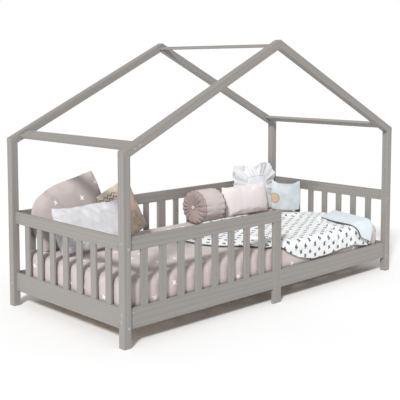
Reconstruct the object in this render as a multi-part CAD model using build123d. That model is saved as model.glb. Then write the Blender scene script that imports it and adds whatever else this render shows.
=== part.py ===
from build123d import *
import os
from math import cos, radians, tan

# A child's bed with a house-shaped roof frame, for a 900 x 2000 mm mattress.
# +X runs along the bed, +Y towards its back, +Z up. The origin is on the floor at the bed's middle.
# Millimetres throughout.

# Driving dimensions
LENGTH = 2080.0
WIDTH = 966.0
POST = 40.0
POST_TOP = 858.0
POST_SEAM = 439.0
ROOF_ANGLE = 26.0

BOARD = 16.0
TIMBER_EDGE = 1.5
BOARD_EDGE = 2.0
SLAT_EDGE = 3.0
LONG_EDGE_SHARE = 0.9
SIDE_INSET = 11.4
END_INSET = 18.5
LOW_RAIL_BOTTOM = 81.0
LOW_RAIL_HEIGHT = 96.0
TOP_RAIL_BOTTOM = 436.0
TOP_RAIL_HEIGHT = 62.0
LEG_WIDTH = 60.0

BALUSTER_WIDTH = 40.0
BALUSTER_THICKNESS = 12.0
BALUSTER_PITCH = 113.0
SIDE_BALUSTERS = 8
END_BALUSTERS = 7
TENON_WIDTH = 34.0
TENON_THICKNESS = 8.0
TENON_LENGTH = 12.0

ROOF_BOARD_WIDTH = 60.0
EAVE_BOARD_REACH = 80.0
RIDGE_BOARD_DROP = 30.7

LEDGER_SIZE = 24.0
LEDGER_TOP = 130.0
SLAT_WIDTH = 70.0
SLAT_THICKNESS = 16.0
SLAT_COUNT = 10
SLAT_END_GAP = 5.0
FIRST_SLAT_GAP = 25.0
LEDGER_END_GAP = 1.0

# Fasteners
BOLT_RADIUS = 3.0
BOLT_REACH = 30.0
BOLT_HEAD_RADIUS = 6.0
BOLT_HEAD_HEIGHT = 3.0
BOLT_SOCKET = 4.0
BOLT_SOCKET_DEPTH = 2.1
BOLT_HOLE_OVERRUN = 2.0
BARREL_NUT_RADIUS = 5.0
BARREL_NUT_LENGTH = 12.0
BARREL_NUT_DEPTH = 22.0
THREAD_PLAY = 0.05
HOLE_PLAY = 0.2
END_LOW_BOLT_Z = 92.0
END_TOP_BOLT_Z = 449.0
SIDE_LOW_BOLT_Z = (122.0, 154.0)
SIDE_TOP_BOLT_Z = 475.0
DOWEL_RADIUS = 3.0
PIN_DOWN = 30.0
PIN_UP = 22.0
RAIL_DOWEL_Z = (110.0, 148.0)
RAIL_DOWEL_HALF = 18.0
SCREW_RADIUS = 2.2
SCREW_HEAD_RADIUS = 4.5
SCREW_HEAD_HEIGHT = 2.5
SCREW_HOLE_OVERRUN = 1.0
SCREW_PLAY = 0.1
ROOF_SCREW_REACH = 34.0
ROOF_SCREW_SPACING = 33.0
BASE_SCREW_LENGTH = 30.0

# Bedding
MATTRESS_LENGTH = 1996.0
MATTRESS_WIDTH = 898.0
MATTRESS_HEIGHT = 143.0
MATTRESS_CORNER = 60.0
MATTRESS_EDGE = 22.0
REST_GAP = 0.4
BLANKET_THICKNESS = 40.0
BLANKET_OUTLINE = (
    (-235, 0), (-60, 160), (60, 205), (700, 200), (960, 0),
    (960, -430), (-40, -430), (-65, -350), (-225, -140),
)
BLANKET_LIP = 20.0
BLANKET_DROP_LEFT = 60.0
BLANKET_DROP_RIGHT = 900.0
BLANKET_DROP_THICKNESS = 7.0
BLANKET_DROP_BOTTOM = 196.0
BOLSTER_LENGTH = 220.0
BOLSTER_RADIUS = 103.0
BOLSTER_X = 245.0
BOLSTER_Y = 335.0
BOLSTER_END_ROUND = 41.0
CUSHION_CORNER_SHARE = 0.6
CUSHION_EDGE_SHARE = 0.42

# Derived places
HALF_LENGTH = LENGTH / 2
HALF_WIDTH = WIDTH / 2
POST_X = HALF_LENGTH - POST / 2
POST_Y = HALF_WIDTH - POST / 2
POST_INNER_X = HALF_LENGTH - POST
POST_INNER_Y = HALF_WIDTH - POST
SIDE_Y = HALF_WIDTH - SIDE_INSET - BOARD / 2
END_X = HALF_LENGTH - END_INSET - BOARD / 2
TOP_RAIL_TOP = TOP_RAIL_BOTTOM + TOP_RAIL_HEIGHT
LOW_RAIL_TOP = LOW_RAIL_BOTTOM + LOW_RAIL_HEIGHT
SLAT_TOP = LEDGER_TOP + SLAT_THICKNESS
MATTRESS_BOTTOM = SLAT_TOP + REST_GAP
MATTRESS_TOP = MATTRESS_BOTTOM + MATTRESS_HEIGHT
BEDDING_BOTTOM = MATTRESS_TOP + REST_GAP
SLOPE = tan(radians(ROOF_ANGLE))
INNER_APEX = POST_TOP + SLOPE * POST_INNER_X
OUTER_APEX = INNER_APEX + POST / cos(radians(ROOF_ANGLE))
EAVE_TOP = OUTER_APEX - SLOPE * HALF_LENGTH

SIDES = {"front": -1, "back": 1}
ENDS = {"left": -1, "right": 1}

# name: (centre, (width, thickness, height), roll in its own plane, lean back, turn about Z)
CUSHIONS = {
    "pink_pillow": ((-737, 372, 472), (485, 85, 335), -13, 12, 0),
    "white_pillow": ((-735, 175, 420), (450, 80, 250), 0, 20, 0),
    "knit_cushion": ((-438, 290, 448), (245, 60, 310), -20, 12, 0),
    "blush_cushion": ((600, 322, 394), (410, 75, 200), 0, 12, 0),
    "ruffled_cushion": ((790, 405, 450), (390, 46, 310), 0, 10, 0),
    "blue_cushion": ((902, 238, 397), (200, 62, 205), 0, 8, -55),
}


def block(x, y, z):
    """A box between the two limits of each axis, given as pairs."""
    size = [abs(pair[1] - pair[0]) for pair in (x, y, z)]
    middle = [(pair[0] + pair[1]) / 2 for pair in (x, y, z)]
    return Pos(*middle) * Box(*size)


def rod(start, direction, length, radius):
    """A cylinder from a start point along a direction."""
    middle = Vector(*start) + Vector(*direction).normalized() * (length / 2)
    return Plane(origin=middle, z_dir=Vector(*direction)) * Cylinder(radius, length)


def drill(part, holes):
    """Cuts the holes that reach the part."""
    reach = part.bounding_box()
    for hole in holes:
        if reach.overlaps(hole.bounding_box()):
            part = part - hole
    return part


def eased(part, radius=TIMBER_EDGE):
    """Rounds the long edges of a straight timber."""
    longest = max(edge.length for edge in part.edges())
    return fillet(part.edges().filter_by(lambda edge: edge.length > LONG_EDGE_SHARE * longest), radius)


# Bolts, barrel nuts and dowels

def bolt_places():
    """Every frame bolt as (point on the post's outer face, direction into the bed)."""
    places = []
    for x in (-1, 1):
        for y in (-1, 1):
            for z in (END_LOW_BOLT_Z, END_TOP_BOLT_Z):
                places.append(((x * END_X, y * HALF_WIDTH, z), (0, -y, 0)))
            for z in SIDE_LOW_BOLT_Z:
                places.append(((x * HALF_LENGTH, y * SIDE_Y, z), (-x, 0, 0)))
            if (x, y) != (1, -1):
                places.append(((x * HALF_LENGTH, y * SIDE_Y, SIDE_TOP_BOLT_Z), (-x, 0, 0)))
    return places


def bolt(point, direction):
    shank = rod(point, direction, POST + BOLT_REACH, BOLT_RADIUS)
    head = rod(point, direction, BOLT_HEAD_HEIGHT, BOLT_HEAD_RADIUS)
    socket_plane = Plane(origin=Vector(*point), z_dir=Vector(*direction))
    socket = extrude(socket_plane * RegularPolygon(BOLT_SOCKET / 2, 6), BOLT_SOCKET_DEPTH)
    return shank + head - socket


def bolt_hole(point, direction):
    shank = rod(point, direction, POST + BOLT_REACH + BOLT_HOLE_OVERRUN, BOLT_RADIUS + HOLE_PLAY)
    head = rod(point, direction, BOLT_HEAD_HEIGHT + HOLE_PLAY, BOLT_HEAD_RADIUS + HOLE_PLAY)
    return shank + head


def nut_frame(point, direction):
    """Centre of a barrel nut in the rail's thickness, and the axis it lies along."""
    centre = Vector(*point) + Vector(*direction) * (POST + BARREL_NUT_DEPTH)
    axis = Vector(abs(direction[1]), abs(direction[0]), 0)
    return centre, axis


def barrel_nut(point, direction):
    centre, axis = nut_frame(point, direction)
    body = Plane(origin=centre, z_dir=axis) * Cylinder(BARREL_NUT_RADIUS, BARREL_NUT_LENGTH)
    thread = Plane(origin=centre, z_dir=Vector(*direction)) * Cylinder(
        BOLT_RADIUS + THREAD_PLAY, 4 * BARREL_NUT_RADIUS)
    return body - thread


def barrel_nut_hole(point, direction):
    centre, axis = nut_frame(point, direction)
    return Plane(origin=centre, z_dir=axis) * Cylinder(BARREL_NUT_RADIUS + HOLE_PLAY, 3 * BOARD)


def dowel_places():
    """Every dowel as (lower end, direction, length)."""
    places = []
    for x in (-1, 1):
        for y in (-1, 1):
            for seam in (POST_SEAM, POST_TOP):
                start = (x * POST_X, y * POST_Y, seam - PIN_DOWN)
                places.append((start, (0, 0, 1), PIN_DOWN + PIN_UP))
            for z in RAIL_DOWEL_Z:
                start = (x * LEG_WIDTH / 2 - RAIL_DOWEL_HALF, y * SIDE_Y, z)
                places.append((start, (1, 0, 0), 2 * RAIL_DOWEL_HALF))
    for y in (-1, 1):
        start = (-RAIL_DOWEL_HALF, y * POST_Y, (INNER_APEX + OUTER_APEX) / 2)
        places.append((start, (1, 0, 0), 2 * RAIL_DOWEL_HALF))
    start = (LEG_WIDTH / 2 - RAIL_DOWEL_HALF, SIDE_Y, TOP_RAIL_BOTTOM + TOP_RAIL_HEIGHT / 2)
    places.append((start, (1, 0, 0), 2 * RAIL_DOWEL_HALF))
    return places


BOLTS = bolt_places()
BOLT_HOLES = [bolt_hole(*place) for place in BOLTS]
NUT_HOLES = [barrel_nut_hole(*place) for place in BOLTS]
DOWELS = [rod(start, way, length, DOWEL_RADIUS) for start, way, length in dowel_places()]


# Roof and base screws

def roof_point(along, end):
    """The middle of a rafter's depth, a distance along the slope from its lower outer corner."""
    run = along * cos(radians(ROOF_ANGLE)) + POST / 2 * SLOPE * cos(radians(ROOF_ANGLE))
    height = EAVE_TOP + along * SLOPE * cos(radians(ROOF_ANGLE)) - POST / 2 * cos(radians(ROOF_ANGLE))
    return end * (HALF_LENGTH - run), height


def screw(point, direction, length, head=SCREW_HEAD_HEIGHT):
    shank = rod(point, direction, length, SCREW_RADIUS)
    return shank + rod(point, direction, head, SCREW_HEAD_RADIUS)


def screw_hole(point, direction, length):
    return screw(point, direction, length + SCREW_HOLE_OVERRUN, SCREW_HEAD_HEIGHT + SCREW_PLAY)


def roof_screw_places():
    places = []
    for y in (-1, 1):
        for x in (-1, 1):
            for step in (-0.5, 0.5):
                px, pz = roof_point(EAVE_BOARD_REACH + step * ROOF_SCREW_SPACING, x)
                places.append(((px, y * HALF_WIDTH, pz), (0, -y, 0)))
            ridge_z = OUTER_APEX - RIDGE_BOARD_DROP
            places.append(((x * ROOF_SCREW_SPACING / 2, y * HALF_WIDTH, ridge_z), (0, -y, 0)))
    return places


ROOF_SCREWS = roof_screw_places()
ROOF_SCREW_LENGTH = POST + ROOF_SCREW_REACH
ROOF_HOLES = [screw_hole(point, way, ROOF_SCREW_LENGTH) for point, way in ROOF_SCREWS]


def slat_centres():
    reach = POST_INNER_X - SLAT_WIDTH / 2 - FIRST_SLAT_GAP
    return [-reach + i * 2 * reach / (SLAT_COUNT - 1) for i in range(SLAT_COUNT)]


def base_screw_places():
    """Slat screws go down into the ledgers, between them ledger screws go out into the rails."""
    places = []
    centres = slat_centres()
    ledger_y = SIDE_Y - BOARD / 2 - LEDGER_SIZE / 2
    for side in (-1, 1):
        for x in centres:
            places.append(((x, side * ledger_y, SLAT_TOP), (0, 0, -1), BASE_SCREW_LENGTH))
        for x, following in zip(centres[::2], centres[1::2]):
            inner = (SIDE_Y - BOARD / 2 - LEDGER_SIZE) * side
            point = ((x + following) / 2, inner, LEDGER_TOP - LEDGER_SIZE / 2)
            places.append((point, (0, side, 0), BASE_SCREW_LENGTH))
    return places


BASE_SCREWS = base_screw_places()
BASE_HOLES = [screw_hole(*place) for place in BASE_SCREWS]


# Timber frame

def lower_post(side, end):
    x = (end * POST_INNER_X, end * HALF_LENGTH)
    y = (side * POST_INNER_Y, side * HALF_WIDTH)
    return drill(eased(block(x, y, (0, POST_SEAM))), BOLT_HOLES + DOWELS)


def upper_post(side, end):
    x = (end * POST_INNER_X, end * HALF_LENGTH)
    y = (side * POST_INNER_Y, side * HALF_WIDTH)
    return drill(eased(block(x, y, (POST_SEAM, POST_TOP))), BOLT_HOLES + DOWELS)


def rafter(side, end):
    """A square timber cut level where it sits on the post and plumb at both ends."""
    outline = Polyline(
        (end * HALF_LENGTH, POST_TOP),
        (end * POST_INNER_X, POST_TOP),
        (0, INNER_APEX),
        (0, OUTER_APEX),
        (end * HALF_LENGTH, EAVE_TOP),
        close=True,
    )
    face = make_face(Plane.XZ * outline)
    timber = extrude(face, POST / 2, both=True)
    timber = Pos(0, side * POST_Y, 0) * timber
    return drill(eased(timber), DOWELS + ROOF_HOLES)


def ridge_board():
    z = OUTER_APEX - RIDGE_BOARD_DROP
    half = ROOF_BOARD_WIDTH / 2
    y = (-POST_INNER_Y, POST_INNER_Y)
    board = block((-half, half), y, (z - BOARD / 2, z + BOARD / 2))
    return drill(eased(board), ROOF_HOLES)


def eave_board(end):
    """A flat board lying in the roof slope between the front and back rafters."""
    x, z = roof_point(EAVE_BOARD_REACH, end)
    board = eased(Box(ROOF_BOARD_WIDTH, 2 * POST_INNER_Y, BOARD))
    board = Pos(x, 0, z) * Rot(0, end * ROOF_ANGLE, 0) * board
    return drill(board, ROOF_HOLES)


def baluster_offsets(start, stop, count):
    """Centres of evenly pitched balusters in the middle of a bay."""
    middle = (start + stop) / 2
    return [middle + (i - (count - 1) / 2) * BALUSTER_PITCH for i in range(count)]


def upright(along, across, lengthwise, width, thickness, z):
    """A vertical bar whose width runs along X when lengthwise, and along Y when not."""
    wide = (along - width / 2, along + width / 2)
    thin = (across - thickness / 2, across + thickness / 2)
    return block(wide, thin, z) if lengthwise else block(thin, wide, z)


def baluster(along, across, lengthwise):
    body_z = (LOW_RAIL_TOP, TOP_RAIL_BOTTOM)
    tenon_z = (LOW_RAIL_TOP - TENON_LENGTH, TOP_RAIL_BOTTOM + TENON_LENGTH)
    bar = eased(upright(along, across, lengthwise, BALUSTER_WIDTH, BALUSTER_THICKNESS, body_z), BOARD_EDGE)
    return bar + upright(along, across, lengthwise, TENON_WIDTH, TENON_THICKNESS, tenon_z)


def mortises(offsets, across, lengthwise):
    z = (LOW_RAIL_TOP - TENON_LENGTH, TOP_RAIL_BOTTOM + TENON_LENGTH)
    return [upright(a, across, lengthwise, TENON_WIDTH, TENON_THICKNESS, z) for a in offsets]


LEFT_BAY = baluster_offsets(-POST_INNER_X, -LEG_WIDTH / 2, SIDE_BALUSTERS)
RIGHT_BAY = baluster_offsets(LEG_WIDTH / 2, POST_INNER_X, SIDE_BALUSTERS)
END_BAY = baluster_offsets(-POST_INNER_Y, POST_INNER_Y, END_BALUSTERS)
BAYS = {"left": LEFT_BAY, "right": RIGHT_BAY}


def end_rail(end, bottom, height):
    x = (end * END_X - BOARD / 2, end * END_X + BOARD / 2)
    rail = eased(block(x, (-POST_INNER_Y, POST_INNER_Y), (bottom, bottom + height)), BOARD_EDGE)
    return drill(rail, mortises(END_BAY, end * END_X, False) + BOLT_HOLES + NUT_HOLES)


def side_rail(side, end):
    """A low rail from a corner post to the centre leg."""
    y = (side * SIDE_Y - BOARD / 2, side * SIDE_Y + BOARD / 2)
    x = (end * LEG_WIDTH / 2, end * POST_INNER_X)
    rail = eased(block(x, y, (LOW_RAIL_BOTTOM, LOW_RAIL_TOP)), BOARD_EDGE)
    cuts = BOLT_HOLES + NUT_HOLES + DOWELS + BASE_HOLES
    if (side, end) != (-1, 1):
        cuts = cuts + mortises(BAYS["left" if end < 0 else "right"], side * SIDE_Y, True)
    return drill(rail, cuts)


def leg_tenon(side):
    z = (TOP_RAIL_BOTTOM, TOP_RAIL_BOTTOM + TENON_LENGTH)
    return upright(0, side * SIDE_Y, True, TENON_WIDTH, TENON_THICKNESS, z)


def guard_top_rail(side, end):
    """The left rail reaches over the centre leg, and the right one butts against it."""
    x = (LEG_WIDTH / 2, end * POST_INNER_X)
    y = (side * SIDE_Y - BOARD / 2, side * SIDE_Y + BOARD / 2)
    rail = eased(block(x, y, (TOP_RAIL_BOTTOM, TOP_RAIL_TOP)), BOARD_EDGE)
    cuts = mortises(BAYS["left" if end < 0 else "right"], side * SIDE_Y, True)
    if end < 0:
        cuts.append(leg_tenon(side))
    if side > 0:
        cuts.append(DOWELS[-1])
    return drill(rail, cuts + BOLT_HOLES + NUT_HOLES)


def centre_leg(side):
    leg = upright(0, side * SIDE_Y, True, LEG_WIDTH, BOARD, (0, TOP_RAIL_BOTTOM))
    return drill(eased(leg), DOWELS + BASE_HOLES) + leg_tenon(side)


# Slatted base

def slat_ledger(side):
    outer = side * (SIDE_Y - BOARD / 2)
    y = (outer - side * LEDGER_SIZE, outer)
    x = (LEDGER_END_GAP - POST_INNER_X, POST_INNER_X - LEDGER_END_GAP)
    ledger = eased(block(x, y, (LEDGER_TOP - LEDGER_SIZE, LEDGER_TOP)))
    return drill(ledger, NUT_HOLES + BASE_HOLES)


def slat(x):
    half = SIDE_Y - BOARD / 2 - SLAT_END_GAP
    along = (x - SLAT_WIDTH / 2, x + SLAT_WIDTH / 2)
    board = eased(block(along, (-half, half), (LEDGER_TOP, SLAT_TOP)), SLAT_EDGE)
    return drill(board, BASE_HOLES)


# Bedding: plain closed solids

def mattress():
    half_x = MATTRESS_LENGTH / 2
    half_y = MATTRESS_WIDTH / 2
    body = block((-half_x, half_x), (-half_y, half_y), (MATTRESS_BOTTOM, MATTRESS_TOP))
    body = fillet(body.edges().filter_by(Axis.Z), MATTRESS_CORNER)
    top = body.edges().group_by(Axis.Z)[-1]
    return fillet(top, MATTRESS_EDGE)


def blanket():
    """A quilt over the right half, with its front edge hanging over the open side of the bed."""
    front = -MATTRESS_WIDTH / 2 - REST_GAP
    outer = front - BLANKET_DROP_THICKNESS
    top = BEDDING_BOTTOM + BLANKET_THICKNESS
    outline = make_face(Polyline(*BLANKET_OUTLINE, close=True))
    spread = extrude(Pos(0, 0, BEDDING_BOTTOM) * outline, BLANKET_THICKNESS)
    drop_x = (BLANKET_DROP_LEFT, BLANKET_DROP_RIGHT)
    lip = block(drop_x, (outer, front + BLANKET_LIP), (BEDDING_BOTTOM, top))
    drop = block(drop_x, (outer, front), (BLANKET_DROP_BOTTOM, top))
    return spread + lip + drop


def cushion(place, size, roll, lean, turn):
    """A padded block with soft edges, flat where it rests on the mattress."""
    width, thickness, height = size
    body = Box(width, thickness, height)
    body = fillet(body.edges().filter_by(Axis.Y), thickness * CUSHION_CORNER_SHARE)
    body = fillet(body.edges(), thickness * CUSHION_EDGE_SHARE)
    body = Pos(*place) * Rot(0, 0, turn) * Rot(-lean, 0, 0) * Rot(0, roll, 0) * body
    reach = 2 * width
    under = block((-reach, reach), (-reach, reach), (BEDDING_BOTTOM - reach, BEDDING_BOTTOM))
    return body - Pos(place[0], place[1], 0) * under


def bolster():
    roll = Rot(0, 90, 0) * Cylinder(BOLSTER_RADIUS, BOLSTER_LENGTH)
    roll = fillet(roll.edges(), BOLSTER_END_ROUND)
    return Pos(BOLSTER_X, BOLSTER_Y, BEDDING_BOTTOM + BOLSTER_RADIUS) * roll


# Every node by name

def build():
    nodes = {}
    for side_name, side in SIDES.items():
        for end_name, end in ENDS.items():
            nodes[f"lower_post_{side_name}_{end_name}"] = lower_post(side, end)
            nodes[f"upper_post_{side_name}_{end_name}"] = upper_post(side, end)
            nodes[f"rafter_{side_name}_{end_name}"] = rafter(side, end)
            nodes[f"side_rail_{side_name}_{end_name}"] = side_rail(side, end)
        nodes[f"centre_leg_{side_name}"] = centre_leg(side)
        nodes[f"slat_ledger_{side_name}"] = slat_ledger(side)
    nodes["ridge_board"] = ridge_board()
    for end_name, end in ENDS.items():
        nodes[f"eave_board_{end_name}"] = eave_board(end)
        nodes[f"end_top_rail_{end_name}"] = end_rail(end, TOP_RAIL_BOTTOM, TOP_RAIL_HEIGHT)
        nodes[f"end_bottom_rail_{end_name}"] = end_rail(end, LOW_RAIL_BOTTOM, LOW_RAIL_HEIGHT)
        nodes[f"guard_top_rail_back_{end_name}"] = guard_top_rail(1, end)
        ends = [baluster(offset, end * END_X, False) for offset in END_BAY]
        nodes[f"balusters_end_{end_name}"] = Compound(ends)
        backs = [baluster(offset, SIDE_Y, True) for offset in BAYS[end_name]]
        nodes[f"balusters_back_{end_name}"] = Compound(backs)
    nodes["guard_top_rail_front"] = guard_top_rail(-1, -1)
    nodes["balusters_front"] = Compound([baluster(offset, -SIDE_Y, True) for offset in LEFT_BAY])
    for number, x in enumerate(slat_centres(), 1):
        nodes[f"slat_{number:02d}"] = slat(x)
    nodes["frame_bolts"] = Compound([bolt(*place) for place in BOLTS])
    nodes["barrel_nuts"] = Compound([barrel_nut(*place) for place in BOLTS])
    nodes["dowels"] = Compound(DOWELS)
    roof = [screw(point, way, ROOF_SCREW_LENGTH) for point, way in ROOF_SCREWS]
    nodes["roof_screws"] = Compound(roof)
    nodes["base_screws"] = Compound([screw(*place) for place in BASE_SCREWS])
    nodes["mattress"] = mattress()
    nodes["blanket"] = blanket()
    nodes["bolster"] = bolster()
    for name, (place, size, roll, lean, turn) in CUSHIONS.items():
        nodes[name] = cushion(place, size, roll, lean, turn)
    return nodes


os.makedirs("parts", exist_ok=True)
for node, shape in build().items():
    export_step(shape, f"parts/{node}.step")
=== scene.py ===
import math
import bmesh
import bpy
import numpy as np
from mathutils import Matrix, Vector, noise


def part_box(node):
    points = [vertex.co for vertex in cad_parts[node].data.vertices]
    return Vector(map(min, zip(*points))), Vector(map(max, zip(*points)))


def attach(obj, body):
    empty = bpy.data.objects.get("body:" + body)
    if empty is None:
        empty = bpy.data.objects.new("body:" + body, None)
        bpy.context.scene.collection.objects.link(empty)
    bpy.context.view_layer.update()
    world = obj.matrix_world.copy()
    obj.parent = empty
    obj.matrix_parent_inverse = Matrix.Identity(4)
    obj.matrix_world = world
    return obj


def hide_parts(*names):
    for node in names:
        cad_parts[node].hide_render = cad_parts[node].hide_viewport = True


# A grey-painted house-frame bed with its bedding. The CAD frame is kept and gets its paint,
# and every soft CAD solid is replaced. Five cushions are drawn nearly full and then softened by a short,
# capped cloth simulation. The rest of the bedding is formed directly. Metres throughout.

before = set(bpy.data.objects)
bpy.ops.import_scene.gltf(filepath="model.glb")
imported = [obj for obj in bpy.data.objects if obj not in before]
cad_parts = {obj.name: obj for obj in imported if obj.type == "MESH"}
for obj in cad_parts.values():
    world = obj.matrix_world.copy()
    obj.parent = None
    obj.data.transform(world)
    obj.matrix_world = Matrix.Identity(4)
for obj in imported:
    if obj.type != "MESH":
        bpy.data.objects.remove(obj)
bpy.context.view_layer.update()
scene = bpy.context.scene

MM = 0.001
BED_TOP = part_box("mattress")[1].z
REST = BED_TOP + 0.4 * MM
BED_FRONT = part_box("mattress")[0].y
ROOF_ANGLE = math.radians(26)

# roll in its own plane, lean back and turn about Z, in degrees, as the CAD solids stand
STANDING = {
    "pink_pillow": (-13, 12, 0),
    "white_pillow": (0, 20, 0),
    "knit_cushion": (-20, 12, 0),
    "blush_cushion": (0, 12, 0),
    "ruffled_cushion": (0, 10, 0),
    "blue_cushion": (0, 8, -55),
}


# Mesh helpers

def new_object(name, points, faces, smooth=True):
    mesh = bpy.data.meshes.new(name)
    mesh.from_pydata([tuple(p) for p in points], [], faces)
    mesh.update()
    piece = bpy.data.objects.new(name, mesh)
    scene.collection.objects.link(piece)
    if smooth:
        mesh.shade_smooth()
    return piece


def positions(piece):
    flat = np.empty(len(piece.data.vertices) * 3, np.float32)
    piece.data.vertices.foreach_get("co", flat)
    return flat.reshape(-1, 3).astype(float)


def place_points(piece, points):
    piece.data.vertices.foreach_set("co", np.asarray(points, np.float32).ravel())
    piece.data.update()


def apply_modifiers(piece):
    """Keeps what the modifiers give as the piece's own mesh."""
    graph = bpy.context.evaluated_depsgraph_get()
    made = bpy.data.meshes.new_from_object(piece.evaluated_get(graph))
    piece.modifiers.clear()
    piece.data = made
    made.shade_smooth()
    return piece


def subdivide(piece):
    smooth = piece.modifiers.new("smooth", "SUBSURF")
    smooth.levels = 1
    return apply_modifiers(piece)


def set_uv(piece, per_vertex):
    """Lays each vertex at its place on the flat cloth, in metres."""
    layer = piece.data.uv_layers.new(name="cloth")
    index = np.empty(len(piece.data.loops), np.int32)
    piece.data.loops.foreach_get("vertex_index", index)
    layer.data.foreach_set("uv", np.asarray(per_vertex, np.float32)[index].ravel())


def set_box_uv(piece):
    """Lays each face flat along the axis that it faces most, in metres."""
    layer = piece.data.uv_layers.new(name="cloth")
    points = positions(piece)
    for face in piece.data.polygons:
        size = [abs(c) for c in face.normal]
        axis = size.index(max(size))
        across, up = ((1, 2), (0, 2), (0, 1))[axis]
        for loop in face.loop_indices:
            point = points[piece.data.loops[loop].vertex_index]
            layer.data[loop].uv = (point[across], point[up])


def ripple(point, size, seed, octaves=3):
    """Smooth noise from about -1 to 1 at a place, with bumps of the given size."""
    place = Vector(point) / size + Vector((seed * 7.3, seed * 3.1, seed * 5.7))
    return noise.fractal(place, 0.9, 2.1, octaves)


def along_normals(piece, heights):
    normals = np.empty(len(piece.data.vertices) * 3, np.float32)
    piece.data.vertices.foreach_get("normal", normals)
    place_points(piece, positions(piece) + normals.reshape(-1, 3) * np.asarray(heights)[:, None])


def closed_tube(name, path, radius, sides=8):
    """A round tube along a closed loop of points."""
    count = len(path)
    points = []
    for i, here in enumerate(path):
        way = (path[(i + 1) % count] - path[i - 1]).normalized()
        side = way.cross(Vector((0, 0, 1)))
        side = (side if side.length > 0.1 else way.cross(Vector((0, 1, 0)))).normalized()
        rise = side.cross(way)
        for k in range(sides):
            angle = 2 * math.pi * k / sides
            points.append(here + radius * (math.cos(angle) * side + math.sin(angle) * rise))
    faces = []
    for i in range(count):
        for k in range(sides):
            a, b = i * sides, ((i + 1) % count) * sides
            faces.append((a + k, b + k, b + (k + 1) % sides, a + (k + 1) % sides))
    return new_object(name, points, faces)


# Materials

class Finish:
    """One procedural material, built a node at a time."""

    def __init__(self, name):
        self.material = bpy.data.materials.new(name)
        self.material.use_nodes = True
        self.tree = self.material.node_tree
        self.shader = self.tree.nodes["Principled BSDF"]

    def feed(self, socket, value):
        if isinstance(value, bpy.types.NodeSocket):
            self.tree.links.new(value, socket)
        else:
            socket.default_value = value

    def node(self, kind, *values, **settings):
        made = self.tree.nodes.new("ShaderNode" + kind)
        for key, value in settings.items():
            setattr(made, key, value)
        for socket, value in zip(made.inputs, values):
            if value is not None:
                self.feed(socket, value)
        return made

    def math(self, operation, *values):
        return self.node("Math", *values, operation=operation).outputs[0]

    def mix(self, share, first, second):
        made = self.node("Mix", data_type="RGBA", blend_type="MIX")
        self.feed(made.inputs[0], share)
        self.feed(made.inputs[6], first)
        self.feed(made.inputs[7], second)
        return made.outputs[2]

    def step(self, value, low, high, start=0.0, stop=1.0):
        made = self.node("MapRange", value, low, high, start, stop)
        return made.outputs[0]

    def noise(self, place, scale, detail=3.0, roughness=0.5):
        made = self.node("TexNoise")
        self.feed(made.inputs["Vector"], place)
        made.inputs["Scale"].default_value = scale
        made.inputs["Detail"].default_value = detail
        made.inputs["Roughness"].default_value = roughness
        return made.outputs["Fac"]

    def solid_place(self):
        return self.node("TexCoord").outputs["Object"]

    def cloth_place(self):
        return self.node("UVMap", uv_map="cloth").outputs["UV"]

    def bump(self, height, distance, strength=1.0, under=None):
        made = self.node("Bump")
        made.inputs["Strength"].default_value = strength
        made.inputs["Distance"].default_value = distance
        self.feed(made.inputs["Height"], height)
        if under is not None:
            self.feed(made.inputs["Normal"], under)
        return made.outputs[0]

    def finish(self, colour, roughness, normal=None, **constants):
        self.feed(self.shader.inputs["Base Color"], colour)
        self.feed(self.shader.inputs["Roughness"], roughness)
        if normal is not None:
            self.feed(self.shader.inputs["Normal"], normal)
        for key, value in constants.items():
            self.shader.inputs[key.replace("_", " ")].default_value = value
        return self.material


def rgb(red, green, blue):
    return (red, green, blue, 1.0)


def timber(name, pale, dark, turn, roughness, gloss, grain_depth=0.25):
    """Planed wood with its grain along the local X axis of turn. Each node has its own grain."""
    made = Finish(name)
    own = made.node("ObjectInfo").outputs["Random"]
    spread = made.node("VectorMath", operation="SCALE")
    spread.inputs[0].default_value = (7.0, 11.0, 5.0)
    made.feed(spread.inputs["Scale"], own)
    shifted = made.node("VectorMath", made.solid_place(), spread.outputs[0], operation="ADD")
    laid = made.node("Mapping", vector_type="TEXTURE")
    made.feed(laid.inputs["Vector"], shifted.outputs[0])
    laid.inputs["Rotation"].default_value = turn
    laid.inputs["Scale"].default_value = (0.5, 0.022, 0.022)
    grain = made.noise(laid.outputs[0], 1.6, 5.0, 0.62)
    fine = made.noise(laid.outputs[0], 11.0, 3.0, 0.7)
    rings = made.node("TexWave", wave_type="RINGS", rings_direction="X")
    made.feed(rings.inputs["Vector"], laid.outputs[0])
    rings.inputs["Scale"].default_value = 0.55
    rings.inputs["Distortion"].default_value = 5.0
    rings.inputs["Detail"].default_value = 2.0
    wave = made.step(rings.outputs["Fac"], 0.15, 0.95)
    both = made.math("ADD", made.math("MULTIPLY", grain, 0.6), made.math("MULTIPLY", wave, 0.4))
    cloudy = made.noise(made.solid_place(), 2.3, 2.0)
    share = made.step(both, 0.2, 0.8)
    colour = made.mix(share, rgb(*dark), rgb(*pale))
    colour = made.mix(made.step(fine, 0.55, 0.85, 0.0, 0.2), colour, rgb(*dark))
    colour = made.mix(made.step(cloudy, 0.35, 0.75, 0.0, 0.25), colour, rgb(*pale))
    height = made.math("ADD", both, made.math("MULTIPLY", fine, 0.4))
    normal = made.bump(height, grain_depth * MM, 0.6)
    rough = made.step(fine, 0.3, 0.8, roughness - 0.06, roughness + 0.08)
    return made.finish(colour, rough, normal, Specular_IOR_Level=gloss)


def zinc():
    made = Finish("zinc_plate")
    cloudy = made.noise(made.solid_place(), 420.0, 3.0)
    colour = made.mix(cloudy, rgb(0.42, 0.42, 0.41), rgb(0.66, 0.65, 0.62))
    rough = made.step(cloudy, 0.3, 0.7, 0.28, 0.45)
    return made.finish(colour, rough, made.bump(cloudy, 0.05 * MM), Metallic=1.0)


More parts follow.
